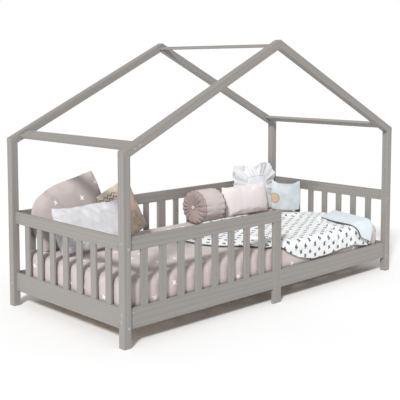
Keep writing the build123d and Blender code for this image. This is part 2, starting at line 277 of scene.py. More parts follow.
def motif_cells(made, pitch, wander, spin):
    """Splits the cloth into staggered cells, and gives the distances from a cell's mark on its two axes."""
    scaled = made.node("VectorMath", made.cloth_place(), operation="SCALE")
    scaled.inputs["Scale"].default_value = 1 / pitch
    split = made.node("SeparateXYZ", scaled.outputs[0])
    row = made.math("FLOOR", split.outputs[1])
    stagger = made.math("MULTIPLY", made.math("MODULO", row, 2.0), 0.5)
    across = made.math("ADD", split.outputs[0], stagger)
    cell = made.node("CombineXYZ", made.math("FLOOR", across), row, 0.0)
    draw = made.node("TexWhiteNoise", cell.outputs[0], noise_dimensions="3D")
    dice = made.node("SeparateXYZ", draw.outputs["Color"])
    place = []
    for along, throw in ((across, dice.outputs[0]), (split.outputs[1], dice.outputs[1])):
        centred = made.math("SUBTRACT", made.math("FRACT", along), 0.5)
        shift = made.math("MULTIPLY", made.math("SUBTRACT", throw, 0.5), wander)
        place.append(made.math("SUBTRACT", centred, shift))
    turned = made.node("VectorRotate", rotation_type="Z_AXIS")
    made.feed(turned.inputs["Vector"], made.node("CombineXYZ", *place, 0.0).outputs[0])
    angle = made.math("MULTIPLY", made.math("SUBTRACT", dice.outputs[2], 0.5), spin)
    made.feed(turned.inputs["Angle"], angle)
    local = made.node("SeparateXYZ", turned.outputs[0])
    return [made.math("ABSOLUTE", local.outputs[i]) for i in (0, 1)]


def stroke_marks(made, pitch=0.047):
    """Two short thick brush strokes side by side, joined at their middle."""
    across, up = motif_cells(made, pitch, 0.18, 0.7)
    bar = made.math("MULTIPLY", made.math("LESS_THAN", across, 0.2),
                    made.math("LESS_THAN", made.math("ABSOLUTE", made.math("SUBTRACT", up, 0.12)), 0.08))
    link = made.math("MULTIPLY", made.math("LESS_THAN", across, 0.11), made.math("LESS_THAN", up, 0.2))
    return made.math("MAXIMUM", bar, link)


def star_marks(made, pitch=0.14, size=0.42):
    """Small four-pointed stars."""
    across, up = motif_cells(made, pitch, 0.45, 3.1)
    reach = made.math("ADD", made.math("SQRT", across), made.math("SQRT", up))
    return made.math("LESS_THAN", reach, size)


def dot_marks(made, pitch=0.03, size=0.05):
    across, up = motif_cells(made, pitch, 0.6, 0.0)
    reach = made.math("SQRT", made.math("ADD", made.math("MULTIPLY", across, across),
                                        made.math("MULTIPLY", up, up)))
    return made.math("LESS_THAN", reach, size)


def weave_height(made, thread=1.6 * MM):
    """The height of a plain weave, from crossing threads along and across the cloth."""
    split = made.node("SeparateXYZ", made.cloth_place())
    waves = []
    for i in (0, 1):
        turns = made.math("MULTIPLY", split.outputs[i], 2 * math.pi / thread)
        waves.append(made.math("SINE", turns))
    return made.math("MULTIPLY", waves[0], waves[1])


def fabric(name, pale, dark, marks=None, ink=None, crumple=0.4, sheen=0.25, alpha=1.0):
    """Woven cotton: soft shade changes, fine creases, threads, and printed marks where it has them."""
    made = Finish(name)
    place = made.solid_place()
    shade = made.noise(place, 9.0, 4.0)
    fibre = made.noise(place, 700.0, 2.0, 0.7)
    colour = made.mix(made.step(shade, 0.3, 0.7), rgb(*dark), rgb(*pale))
    colour = made.mix(made.step(fibre, 0.4, 0.8, 0.0, 0.35), colour, rgb(*dark))
    if marks is not None:
        colour = made.mix(marks(made), colour, rgb(*ink))
    creases = made.noise(place, 34.0, 4.0, 0.6)
    normal = made.bump(creases, crumple * 6 * MM, 0.5)
    normal = made.bump(made.math("ADD", weave_height(made), fibre), 0.25 * MM, 0.6, normal)
    rough = made.step(fibre, 0.2, 0.8, 0.82, 0.98)
    return made.finish(colour, rough, normal, Sheen_Weight=sheen, Sheen_Roughness=0.6,
                       Specular_IOR_Level=0.2, Alpha=alpha)


ZIGZAG_HALF_WIDTH = 2.6 * MM
ZIGZAG_HEIGHTS = (0.112, 0.090)
KNIT_PATCH = (0.055, 0.020)


def zigzag(made, split, height, reach=0.028):
    """A stitched zigzag line across the upper left of the cloth."""
    turn = made.math("ABSOLUTE", made.math("SUBTRACT", made.math(
        "FRACT", made.math("DIVIDE", split.outputs[0], reach)), 0.5))
    line = made.math("ADD", made.math("MULTIPLY", turn, reach), height)
    away = made.math("ABSOLUTE", made.math("SUBTRACT", split.outputs[1], line))
    near = made.math("LESS_THAN", away, ZIGZAG_HALF_WIDTH)
    left = made.math("LESS_THAN", split.outputs[0], -0.01)
    return made.math("MULTIPLY", near, left)


def knit(name):
    """Coarse stocking stitch in mixed browns, with a pinkish patch and two stitched zigzags."""
    made = Finish(name)
    split = made.node("SeparateXYZ", made.cloth_place())
    column = made.math("ABSOLUTE", made.math("SUBTRACT", made.math(
        "FRACT", made.math("DIVIDE", split.outputs[0], 9 * MM)), 0.5))
    slant = made.math("MULTIPLY", column, 1.3)
    stitch = made.math("ABSOLUTE", made.math("SUBTRACT", made.math(
        "FRACT", made.math("SUBTRACT", made.math("DIVIDE", split.outputs[1], 7 * MM), slant)), 0.5))
    height = made.math("MULTIPLY", made.math("SUBTRACT", 0.5, stitch), made.math("SUBTRACT", 0.62, column))
    place = made.solid_place()
    mottle = made.noise(place, 60.0, 4.0, 0.7)
    broad = made.noise(place, 11.0, 3.0)
    colour = made.mix(made.step(mottle, 0.35, 0.65), rgb(0.24, 0.18, 0.125), rgb(0.58, 0.49, 0.38))
    colour = made.mix(made.step(broad, 0.35, 0.7, 0.0, 0.6), colour, rgb(0.50, 0.43, 0.34))
    aside = made.math("SUBTRACT", split.outputs[0], made.math("MULTIPLY", split.outputs[1], 0.5))
    colour = made.mix(made.step(aside, -0.07, 0.03, 0.9, 0.0), colour, rgb(0.72, 0.62, 0.52))
    flat = made.node("VectorMath", made.cloth_place(), operation="DISTANCE")
    flat.inputs[1].default_value = (*KNIT_PATCH, 0.0)
    ragged = made.math("ADD", flat.outputs["Value"], made.math("MULTIPLY", mottle, 0.03))
    colour = made.mix(made.step(ragged, 0.050, 0.064, 0.8, 0.0), colour, rgb(0.66, 0.42, 0.38))
    for level in ZIGZAG_HEIGHTS:
        colour = made.mix(zigzag(made, split, level), colour, rgb(0.035, 0.028, 0.025))
    shadow = made.step(height, 0.0, 0.14, 0.45, 0.0)
    colour = made.mix(shadow, colour, rgb(0.10, 0.075, 0.05))
    normal = made.bump(height, 3.0 * MM, 1.0)
    return made.finish(colour, made.step(mottle, 0.2, 0.8, 0.85, 1.0), normal,
                       Sheen_Weight=0.4, Sheen_Roughness=0.5, Specular_IOR_Level=0.15)


def patched_blue(name, patch_middle, patch_radius):
    """Brushed blue cotton with one round tan patch, stitched round its edge."""
    made = Finish(name)
    place = made.solid_place()
    shade = made.noise(place, 14.0, 3.0)
    fibre = made.noise(place, 500.0, 2.0, 0.7)
    colour = made.mix(made.step(shade, 0.3, 0.7), rgb(0.52, 0.59, 0.62), rgb(0.68, 0.73, 0.75))
    flat = made.node("VectorMath", made.cloth_place(), operation="DISTANCE")
    flat.inputs[1].default_value = (*patch_middle, 0.0)
    inside = made.math("LESS_THAN", flat.outputs["Value"], patch_radius)
    edge = made.math("LESS_THAN", made.math("ABSOLUTE", made.math(
        "SUBTRACT", flat.outputs["Value"], patch_radius)), 1.6 * MM)
    tan = made.mix(shade, rgb(0.50, 0.37, 0.22), rgb(0.66, 0.50, 0.32))
    colour = made.mix(inside, colour, tan)
    colour = made.mix(edge, colour, rgb(0.30, 0.22, 0.15))
    normal = made.bump(made.math("ADD", fibre, inside), 0.8 * MM, 0.6)
    return made.finish(colour, made.step(fibre, 0.2, 0.8, 0.85, 0.98), normal,
                       Sheen_Weight=0.4, Sheen_Roughness=0.5, Specular_IOR_Level=0.2)


def floor_paint():
    made = Finish("floor_paint")
    cloudy = made.noise(made.solid_place(), 1.2, 3.0)
    colour = made.mix(cloudy, rgb(0.94, 0.94, 0.94), rgb(0.97, 0.97, 0.97))
    return made.finish(colour, made.step(cloudy, 0.3, 0.7, 0.75, 0.9), Specular_IOR_Level=0.1)


PINK_PALE, PINK_DARK = (0.60, 0.52, 0.50), (0.53, 0.45, 0.43)
INK_WHITE = (0.92, 0.90, 0.88)
# painted light and shade: the pillow's and the sheet's printed pink are one cloth, given as a darker copy
# for the pillow and a lighter copy for the sheet
PINK_PRINT_PAINTED_SHADE = fabric("pink_cotton", (0.53, 0.468, 0.45), (0.47, 0.405, 0.387), star_marks, INK_WHITE)
PINK_PRINT_PAINTED_LIGHT = fabric("pink_print_painted_light", PINK_PALE, PINK_DARK, star_marks, INK_WHITE)
PINK_PLAIN = fabric("plain_pink_cotton", PINK_PALE, PINK_DARK)
# painted shade: a much darker copy of the plain pink for the bolster's gathered ends, standing in for the
# shade in their pleats
PINK_ENDS_PAINTED_SHADE = fabric("pink_ends_painted_shade", (0.35, 0.28, 0.262), (0.28, 0.215, 0.20), crumple=0.8)
WHITE = fabric("white_cotton", (0.68, 0.68, 0.70), (0.63, 0.63, 0.66), crumple=0.3)
BLUSH = fabric("blush_cotton", (0.80, 0.74, 0.745), (0.745, 0.685, 0.69))
TULLE = fabric("white_tulle", (0.93, 0.935, 0.945), (0.88, 0.885, 0.90), crumple=0.5, alpha=0.8)
TULLE_PAD = fabric("tulle_over_white", (0.80, 0.81, 0.83), (0.74, 0.75, 0.78), crumple=0.5)
QUILT_FACE = fabric("printed_cotton", (0.83, 0.84, 0.845), (0.77, 0.78, 0.79), stroke_marks,
                    (0.075, 0.075, 0.085), crumple=0.8)
QUILT_BACK = fabric("quilt_reverse", (0.70, 0.76, 0.79), (0.63, 0.70, 0.74), dot_marks,
                    (0.25, 0.30, 0.36), crumple=0.6)
BINDING = fabric("dark_binding", (0.10, 0.10, 0.11), (0.06, 0.06, 0.065), crumple=0.2)
PIPING = fabric("brown_piping", (0.16, 0.10, 0.09), (0.10, 0.065, 0.06), crumple=0.2)
KNIT = knit("mixed_knit")

PAINT_PALE, PAINT_DARK = (0.288, 0.273, 0.259), (0.252, 0.238, 0.225)
ALONG = {
    "x": (0, 0, 0),
    "y": (0, 0, math.pi / 2),
    "z": (0, math.pi / 2, 0),
    "rising": (0, -ROOF_ANGLE, 0),
    "falling": (0, ROOF_ANGLE, 0),
}
PAINT = {way: timber(f"grey_paint_{way}", PAINT_PALE, PAINT_DARK, turn, 0.5, 0.35, 0.12)
         for way, turn in ALONG.items()}
PINE = timber("bare_pine", (0.74, 0.56, 0.34), (0.58, 0.39, 0.20), ALONG["y"], 0.62, 0.3)
BEECH = timber("beech", (0.66, 0.46, 0.30), (0.52, 0.33, 0.19), ALONG["x"], 0.6, 0.3)
ZINC = zinc()


def timber_direction(node):
    if node.startswith("rafter"):
        return "rising" if node.endswith("left") else "falling"
    if "post" in node or "leg" in node or "balusters" in node:
        return "z"
    if node.startswith(("end_", "eave_", "ridge_")):
        return "y"
    return "x"


def dress_frame():
    """Gives every hard CAD node its own finish."""
    for name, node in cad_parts.items():
        if name.startswith(("slat_0", "slat_1")):
            material = PINE
        elif name == "dowels":
            material = BEECH
        elif name.endswith(("screws", "bolts", "nuts")):
            material = ZINC
        else:
            material = PAINT[timber_direction(name)]
        node.data.materials.clear()
        node.data.materials.append(material)


dress_frame()


# Cushions: two panels joined round their edge, drawn nearly full. A capped cloth simulation softens them.

def standing(node):
    """Where a cushion's CAD solid stands: its own axes with their origin at its middle, and its size."""
    roll, lean, turn = (math.radians(a) for a in STANDING[node])
    axes = Matrix.Rotation(turn, 4, "Z") @ Matrix.Rotation(-lean, 4, "X") @ Matrix.Rotation(roll, 4, "Y")
    local = [axes.inverted() @ v.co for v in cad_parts[node].data.vertices]
    low = Vector([min(p[i] for p in local) for i in range(3)])
    high = Vector([max(p[i] for p in local) for i in range(3)])
    return axes @ Matrix.Translation((low + high) / 2), high - low


def rounded(u, v, corners):
    """Moves a place on the square panel towards a rounded outline, by each corner's share."""
    disc_u = u * math.sqrt(1 - v * v / 2)
    disc_v = v * math.sqrt(1 - u * u / 2)
    share = corners[(0 if v > 0 else 2) + (0 if u < 0 else 1)]
    return u + share * (disc_u - u), v + share * (disc_v - v)


def sewn_case(name, size, step, corners, waist=0.0):
    """Two panels that share their edge. corners: top left, top right, bottom left, bottom right."""
    across = max(8, round(size.x / step))
    up = max(8, round(size.z / step))
    index, points, flat, faces = {}, [], [], []
    for layer in (-1, 1):
        for j in range(up + 1):
            for i in range(across + 1):
                edge = i in (0, across) or j in (0, up)
                if edge and layer == 1:
                    index[layer, i, j] = index[-1, i, j]
                    continue
                u, v = 2 * i / across - 1, 2 * j / up - 1
                fill = math.sqrt(max(0.0, (1 - abs(u) ** 2.5) * (1 - abs(v) ** 2.5)))
                pu, pv = rounded(u, v, corners)
                pv *= 1 - waist * (1 - pu * pu) * (pv > 0)
                index[layer, i, j] = len(points)
                points.append((pu * size.x / 2, layer * fill * size.y / 2, pv * size.z / 2))
                flat.append((u * size.x / 2 + (layer > 0), v * size.z / 2))
        for j in range(up):
            for i in range(across):
                quad = [index[layer, i, j], index[layer, i + 1, j],
                        index[layer, i + 1, j + 1], index[layer, i, j + 1]]
                faces.append(quad if layer < 0 else quad[::-1])
    piece = new_object(name, points, faces)
    set_uv(piece, flat)
    return piece


FRAMES = 20
PRESSURE = 4.0
STIFFNESS = 15.0
FLAT_SHARE = 0.7


def slim(piece, share):
    points = positions(piece)
    points[:, 1] *= share
    place_points(piece, points)


def add_cloth(piece):
    cloth = piece.modifiers.new("cloth", "CLOTH")
    settings = cloth.settings
    settings.quality = 6
    settings.mass = 0.3
    settings.tension_stiffness = STIFFNESS
    settings.compression_stiffness = STIFFNESS
    settings.shear_stiffness = STIFFNESS / 3
    settings.bending_stiffness = 0.15
    settings.use_pressure = True
    settings.uniform_pressure_force = PRESSURE
    settings.effector_weights.gravity = 0
    cloth.point_cache.frame_start = 1
    cloth.point_cache.frame_end = FRAMES


def blow_up(pieces, cap=11 * MM):
    """Runs the cushions' simulations together and keeps each result, with no point moved past the cap."""
    before = {piece.name: positions(piece) for piece in pieces}
    for piece in pieces:
        add_cloth(piece)
    for number in range(1, FRAMES + 1):
        scene.frame_set(number)
    for piece in pieces:
        apply_modifiers(piece)
        moved = positions(piece) - before[piece.name]
        length = np.maximum(np.linalg.norm(moved, axis=1), 1e-9)
        share = np.minimum(1.0, cap / length)
        place_points(piece, before[piece.name] + moved * share[:, None])
    scene.frame_set(1)


def fit_to(piece, size):
    """Scales a cushion to the room its CAD solid holds."""
    points = positions(piece)
    low, high = points.min(0), points.max(0)
    points = (points - (low + high) / 2) * (np.array(size) / (high - low))
    place_points(piece, points)


def settle(piece, softness=3 * MM):
    """Flattens what would sink into the bed, softly."""
    points = positions(piece)
    depth = (points[:, 2] - REST) / softness
    points[:, 2] = REST + softness * np.where(depth > 30, depth, np.log1p(np.exp(np.minimum(depth, 30))))
    place_points(piece, points)


def crease(piece, start, stop, width, depth):
    """Presses a soft furrow into the front panel, between two places in its plane."""
    points = positions(piece)
    start, stop = np.array(start), np.array(stop)
    flat = points[:, [0, 2]]
    way = (stop - start) / np.linalg.norm(stop - start)
    along = np.clip((flat - start) @ way, 0, np.linalg.norm(stop - start))
    away = np.linalg.norm(flat - start - along[:, None] * way, axis=1)
    front = np.clip(-points[:, 1] / 0.01, 0, 1)
    points[:, 1] += depth * np.exp(-(away / width) ** 2) * front
    place_points(piece, points)


def rumple(piece, size, depth, seed, sharp=False, stretch=1.0, turn=0.0):
    """Adds soft lumps, or sharp-crested creases, along the normals. They are drawn out along turn."""
    heights = []
    way = Vector((math.cos(turn), 0, math.sin(turn)))
    for point in positions(piece):
        along = Vector(point).dot(way)
        value = ripple(Vector(point) + way * along * (1 / stretch - 1), size, seed)
        heights.append(depth * (0.5 - abs(value) * 2 if sharp else value))
    along_normals(piece, heights)


# Corner roundness at the top left, top right, bottom left and bottom right, then the grid step
CASES = {
    "pink_pillow": ((0.95, 0.18, 0.3, 0.2), 9 * MM),
    "white_pillow": ((0.12, 0.12, 0.25, 0.25), 8 * MM),
    "knit_cushion": ((0.1, 0.1, 0.2, 0.2), 6 * MM),
    "blush_cushion": ((0.12, 0.12, 0.15, 0.15), 7 * MM),
    "blue_cushion": ((0.1, 0.1, 0.4, 0.4), 5 * MM),
}
BLUE_WAIST = 0.14
BLUE_PATCH, BLUE_PATCH_RADIUS = (-0.072, -0.02), 0.034


def make_cases():
    made = {}
    for node, (corners, step) in CASES.items():
        size = standing(node)[1]
        waist = BLUE_WAIST if node == "blue_cushion" else 0.0
        made[node] = sewn_case(node.replace("_", "_soft_"), size, step, corners, waist)
    return made


def stand(piece, node):
    piece.data.transform(standing(node)[0])
    settle(piece)


def dress_cushion(piece, node, material):
    piece.data.materials.clear()
    piece.data.materials.append(material)
    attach(piece, node)
    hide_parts(node)


def make_cushions():
    cases = make_cases()
    for piece in cases.values():
        slim(piece, FLAT_SHARE)
    blow_up(list(cases.values()))
    for node, piece in cases.items():
        fit_to(piece, standing(node)[1])
    pink = cases["pink_pillow"]
    crease(pink, (-0.10, 0.17), (0.06, -0.10), 0.022, 0.016)
    rumple(pink, 0.11, 3 * MM, 1)
    rumple(cases["white_pillow"], 0.12, 4 * MM, 2)
    rumple(cases["white_pillow"], 0.06, 7 * MM, 3, sharp=True, stretch=4.0, turn=math.radians(-32))
    rumple(cases["blush_cushion"], 0.09, 3 * MM, 4)
    rumple(cases["knit_cushion"], 0.08, 2 * MM, 5)
    rumple(cases["blue_cushion"], 0.08, 2 * MM, 6)
    looks = {
        # the pillow takes the darker copy of the printed pink, as painted shade
        "pink_pillow": (PINK_PRINT_PAINTED_SHADE, 0.6),
        "white_pillow": (WHITE, 0.45),
        "knit_cushion": (KNIT, 0.7),
        "blush_cushion": (BLUSH, 0.7),
        "blue_cushion": (patched_blue("blue_brushed", BLUE_PATCH, BLUE_PATCH_RADIUS), 0.8),
    }
    for node, piece in cases.items():
        subdivide(piece)
        stand(piece, node)
        material, fill = looks[node]
        dress_cushion(piece, node, material)


# Ruffled cushion: a small pad with two gathered flounces round it

def flounce(name, size, inner, folds, phase, layer):
    """A gathered band from inside the pad's outline to the cushion's full size, dipping at its top."""
    around, out = 288, 10
    points, flat, faces = [], [], []
    for k in range(out + 1):
        t = k / out
        for i in range(around):
            angle = 2 * math.pi * i / around
            square = max(abs(math.cos(angle)), abs(math.sin(angle))) ** 0.85
            dip = 0.2 * math.exp(-((angle - math.pi / 2) / 0.3) ** 2)
            uneven = 1 - t * dip + 0.05 * t * math.sin(5 * angle + phase)
            reach = (inner + (1 - inner) * t) / square * uneven
            x = math.cos(angle) * reach * size.x / 2
            z = math.sin(angle) * reach * size.z / 2
            wave = math.sin(folds * angle + phase) + 0.45 * math.sin(2.6 * folds * angle + 2 * phase)
            y = layer * (MM + (1 - t) * size.y * 0.28) + wave * size.y * 0.26 * t ** 0.8
            points.append((x, y, z))
            flat.append((angle * 0.2, t * 0.09))
    for k in range(out):
        for i in range(around):
            j = (i + 1) % around
            faces.append((k * around + i, k * around + j, (k + 1) * around + j, (k + 1) * around + i))
    piece = new_object(name, points, faces)
    set_uv(piece, flat)
    limit = np.array(size) / 2
    place_points(piece, np.clip(positions(piece), -limit, limit))
    return subdivide(piece)


def make_ruffled():
    axes, size = standing("ruffled_cushion")
    inner = Vector((size.x * 0.64, size.y * 0.8, size.z * 0.64))
    pad = sewn_case("ruffled_pad", inner, 8 * MM, (0.5, 0.5, 0.4, 0.4))
    rumple(pad, 0.07, 3 * MM, 8)
    subdivide(pad)
    bands = [flounce("ruffle_front", size, 0.45, 9, 0.4, -1), flounce("ruffle_back", size, 0.5, 7, 2.1, 1)]
    for piece in [pad, *bands]:
        piece.data.transform(axes)
        settle(piece)
    for band in bands:
        thick = band.modifiers.new("thick", "SOLIDIFY")
        thick.thickness = 0.6 * MM
        apply_modifiers(band)
        band.data.materials.append(TULLE)
        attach(band, "ruffled_cushion")
    dress_cushion(pad, "ruffled_cushion", TULLE_PAD)


# Bolster: a roll with gathered ends, a covered button on each, and piping round the rims

BOLSTER_PLEATS = 17
BOLSTER_RIM = 30 * MM
PLEAT_DEPTH, BODY_PLEAT_DEPTH = 14 * MM, 6.3 * MM
BUTTON_DIP = 20 * MM
END_RINGS, RIM_RINGS, BODY_RINGS = 14, 7, 20


def make_bolster():
    low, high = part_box("bolster")
    middle = (low + high) / 2
    radius, half = (high.z - low.z) / 2, (high.x - low.x) / 2
    rim = BOLSTER_RIM
    around = 224
    profile = []  # (place along the roll, radius, pleat depth)
    for k in range(1, END_RINGS + 1):
        t = k / END_RINGS
        dip = BUTTON_DIP * (1 - t) ** 1.8
        profile.append((-half + dip + 2 * MM, (radius - rim) * t + 1 * MM, PLEAT_DEPTH * t ** 0.6))
    for k in range(1, RIM_RINGS + 1):
        a = math.pi / 2 * k / RIM_RINGS
        profile.append((-half + rim * (1 - math.cos(a)) + 2 * MM,
                        radius - rim + rim * math.sin(a), PLEAT_DEPTH - k * MM))
    ends = len(profile)
    for k in range(1, BODY_RINGS):
        t = k / BODY_RINGS
        fade = max(0.0, 1 - 2.2 * min(t, 1 - t))
        profile.append((-half + rim + (2 * half - 2 * rim) * t, radius, BODY_PLEAT_DEPTH * fade))
    profile += [(-x, r, d) for x, r, d in reversed(profile[:ends])]
    points, flat, faces = [], [], []
    for x, r, depth in profile:
        facing = min(1.0, max(0.0, (half - abs(x)) / rim))
        for i in range(around):
            angle = 2 * math.pi * i / around
            sway = 0.9 * math.sin(3 * angle + 1) + 12 * (half - abs(x)) * math.sin(2 * angle)
            fold = abs(math.sin((BOLSTER_PLEATS * angle + sway) / 2)) ** 0.6 - 1
            place = Vector((x, r * math.cos(angle), r * math.sin(angle)))
            lump = 1.5 * MM * min(0.0, ripple(place, 0.06, 9))
            reach = r + (fold * depth + lump) * facing
            inward = -fold * depth * (1 - facing)
            points.append((x - math.copysign(inward, x), reach * math.cos(angle), reach * math.sin(angle)))
            flat.append((x + (radius - r) * (1 if x > 0 else -1), angle * radius))
    rings = len(profile)
    for k in range(rings - 1):
        for i in range(around):
            j = (i + 1) % around
            faces.append((k * around + i, (k + 1) * around + i, (k + 1) * around + j, k * around + j))
    faces.append(tuple(range(around)))
    faces.append(tuple(reversed(range((rings - 1) * around, rings * around))))
    roll = new_object("bolster_roll", points, faces)
    set_uv(roll, flat)
    roll.data.transform(Matrix.Translation(middle))
    settle(roll, 2 * MM)
    dress_cushion(roll, "bolster", PINK_PLAIN)
    # the faces of the gathered ends get the darker copy of the pink, as painted shade
    roll.data.materials.append(PINK_ENDS_PAINTED_SHADE)
    for face in roll.data.polygons:
        face.material_index = int(abs(face.center.x - middle.x) > half - 0.9 * rim)
    for end in (-1, 1):
        button = make_button(end)
        button.data.transform(Matrix.Translation(middle + Vector((end * (half - 12 * MM), 0, 0))))
        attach(button, "bolster")
        path = []
        for i in range(96):
            angle = 2 * math.pi * i / 96
            reach = radius - 1.5 * MM
            z = max(reach * math.sin(angle), -radius + 2.2 * MM)
            path.append(middle + Vector((end * (half - rim), reach * math.cos(angle), z)))
        piping = closed_tube(f"bolster_piping_{'left' if end < 0 else 'right'}", path, 1.8 * MM)
        set_box_uv(piping)
        piping.data.materials.append(PIPING)
        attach(piping, "bolster")


def make_button(end, radius=13 * MM, height=6 * MM):
    """A domed, cloth-covered button facing along the roll."""
    around, rings = 40, 8
    points, faces = [], []
    for k in range(rings + 1):
        a = math.pi / 2 * k / rings
        for i in range(around):
            turn = 2 * math.pi * i / around
            reach = radius * math.cos(a) + 0.2 * MM
            points.append((end * height * math.sin(a), reach * math.cos(turn), reach * math.sin(turn)))
    for k in range(rings):
        for i in range(around):
            j = (i + 1) % around
            quad = (k * around + i, k * around + j, (k + 1) * around + j, (k + 1) * around + i)
            faces.append(quad if end > 0 else quad[::-1])
    cap = tuple(range(rings * around, (rings + 1) * around))
    back = tuple(range(around))
    faces.append(cap if end > 0 else cap[::-1])
    faces.append(back[::-1] if end > 0 else back)
    button = new_object(f"bolster_button_{'left' if end < 0 else 'right'}", points, faces)
    set_box_uv(button)
    button.data.materials.append(PINK_PLAIN)
    return button


# Mattress in a fitted sheet

MATTRESS_CORNER = 75 * MM
MATTRESS_EDGE = 34 * MM
MESH_STEP = 9 * MM
SHEET_PULL, SHEET_PUCKER, SHEET_LOOSE = 1.4 * MM, 1.2 * MM, 1.6 * MM


def make_mattress():
    low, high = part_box("mattress")
    size, middle = high - low, (low + high) / 2
    bpy.ops.mesh.primitive_cube_add(size=1.0)
    body = bpy.context.active_object
    body.name = "mattress_in_sheet"
    body.data.transform(Matrix.Diagonal((size.x - 2 * MM, size.y - 2 * MM, size.z - 1 * MM, 1)))
    round_edges(body, MATTRESS_CORNER, upright=True, segments=12)
    round_edges(body, MATTRESS_EDGE, upright=False, segments=8)
    voxels = body.modifiers.new("even", "REMESH")
    voxels.mode = "VOXEL"
    voxels.voxel_size = MESH_STEP
    apply_modifiers(body)
    soften = body.modifiers.new("soften", "SMOOTH")
    soften.iterations = 4
    apply_modifiers(body)
    points = positions(body)
    half_x, half_y, half_z = size.x / 2, size.y / 2, size.z / 2
    heights = []
    for x, y, z in points:
        side = max(abs(x) / half_x, abs(y) / half_y)
        at_side = min(1.0, max(0.0, (side - 0.94) / 0.05))
        corner = max(0.0, abs(x) / half_x - 0.82) / 0.18
        strain = math.sin((x + y) * 95 + 2.5 * ripple((x, y, 0), 0.2, 3))
        pull = SHEET_PULL * strain * at_side * (0.15 + corner)
        pucker = SHEET_PUCKER * math.sin((x - y) * 260) * at_side * max(0.0, -z / half_z - 0.3)
        loose = SHEET_LOOSE * ripple((x, y, z * 0.5), 0.16, 4) * (0.5 + 0.5 * at_side)
        heights.append(pull + pucker + loose - 1.5 * MM)
    along_normals(body, heights)
    points = positions(body)
    points[:, 2] = np.clip(points[:, 2], -half_z + 0.3 * MM, half_z)
    place_points(body, points + np.array(middle))
    body.data.shade_smooth()
    set_box_uv(body)
    # the sheet takes the lighter copy of the printed pink, as painted light
    dress_cushion(body, "mattress", PINK_PRINT_PAINTED_LIGHT)


def round_edges(body, width, upright, segments):
    """Rounds the upright edges, or the edges round the top and bottom."""
    mesh = bmesh.new()
    mesh.from_mesh(body.data)
    chosen = []
    for edge in mesh.edges:
        start, stop = (v.co for v in edge.verts)
        vertical = abs(start.z - stop.z) > 10 * MM
        if vertical == upright and (upright or abs(start.z - stop.z) < MM):
            normals = [f.normal.z for f in edge.link_faces]
            if upright or abs(normals[0] - normals[1]) > 0.5:
                chosen.append(edge)
    bmesh.ops.bevel(mesh, geom=chosen, offset=width, segments=segments, profile=0.5, affect="EDGES")
    mesh.to_mesh(body.data)
    mesh.free()


# Quilt: one flat cut, its front right corner turned back, hung over the bed's front edge.
# Its outline is given laid out flat: x along the bed, and y across it as if the front did not hang down.

QUILT_THICKNESS = 8 * MM
EDGE_RADIUS = 26 * MM
QUILT_FRONT = [(-0.045, -0.425), (0.045, -0.432), (0.09, -0.48), (0.188, -0.526), (0.317, -0.556),
               (0.45, -0.553), (0.593, -0.541), (0.72, -0.540), (0.825, -0.555)]
QUILT_LEFT = [(-0.045, -0.425), (-0.066, -0.351), (-0.119, -0.284), (-0.189, -0.218), (-0.225, -0.132),
              (-0.232, -0.004)]
QUILT_BACK_EDGE = [(-0.232, -0.004), (-0.16, 0.09), (-0.06, 0.16), (0.06, 0.205), (0.25, 0.22),
                   (0.45, 0.205), (0.70, 0.19), (0.86, 0.11), (0.93, -0.02)]
FOLD_START, FOLD_STOP = (0.83, -0.560), (0.955, -0.15)
TURNED_EDGE = [(0.735, -0.52), (0.695, -0.43), (0.715, -0.30), (0.755, -0.17)]
FOLD_RADIUS = 9 * MM
QUILT_ACROSS, QUILT_DEEP = 150, 110
BORDER_CELLS, BACK_BORDER_CELLS = 13, 6
PUFF = 15 * MM
PRINT_COS, PRINT_SIN = 0.87, 0.5  # of the 30 degrees that the print is turned on the cut


def mirrored(point):
    """A place on the turned-back corner, laid flat again over the fold line."""
    start, stop = np.array(FOLD_START), np.array(FOLD_STOP)
    way = (stop - start) / np.linalg.norm(stop - start)
    across = np.array((way[1], -way[0]))
    away = (np.array(point) - start) @ across
    return np.array(point) - (2 * away - math.pi * FOLD_RADIUS) * across


def resampled(corners, count):
    """A line along the corner points, with its corners softened, as evenly spaced places."""
    corners = np.array(corners, float)
    steps = np.concatenate([[0], np.cumsum(np.linalg.norm(np.diff(corners, axis=0), axis=1))])
    even = np.linspace(0, steps[-1], count)
    line = np.stack([np.interp(even, steps, corners[:, i]) for i in (0, 1)], axis=1)
    for _ in range(6):
        line[1:-1] = (line[:-2] + 2 * line[1:-1] + line[2:]) / 4
    return line


def flat_quilt(across, deep):
    """The flat cut as a grid of places between its four edges."""
    front, back = resampled(QUILT_FRONT, across + 1), resampled(QUILT_BACK_EDGE, across + 1)
    turned = [tuple(mirrored(point)) for point in TURNED_EDGE]
    left = resampled(QUILT_LEFT, deep + 1)
    right = resampled([QUILT_FRONT[-1], FOLD_START, *turned, QUILT_BACK_EDGE[-1]], deep + 1)
    u = np.linspace(0, 1, across + 1)[:, None, None]
    v = np.linspace(0, 1, deep + 1)[None, :, None]
    ruled = (1 - v) * front[:, None] + v * back[:, None] + (1 - u) * left[None] + u * right[None]
    corners = ((1 - u) * (1 - v) * front[0] + u * (1 - v) * front[-1]
               + (1 - u) * v * back[0] + u * v * back[-1])
    return ruled - corners


# Folds across the top: the places they pass, their height, half width and pinched depth
RIDGES = [
    ([(0.75, 0.02), (0.60, 0.045), (0.42, 0.05)], 15 * MM, 0.040, 15 * MM),
    ([(0.42, 0.05), (0.33, -0.01), (0.27, -0.10)], 9 * MM, 0.032, 9 * MM),
    ([(0.76, -0.15), (0.63, -0.27), (0.57, -0.40), (0.54, -0.54)], 15 * MM, 0.040, 16 * MM),
    ([(0.10, -0.10), (0.02, -0.25), (0.12, -0.42)], 12 * MM, 0.030, 8 * MM),
    ([(-0.12, 0.08), (0.04, 0.16), (0.25, 0.175), (0.42, 0.15)], 23 * MM, 0.055, 0.0),
    ([(0.80, -0.30), (0.72, -0.42), (0.70, -0.54)], 10 * MM, 0.022, 0.0),
]
PINCH_WIDTH = 14 * MM


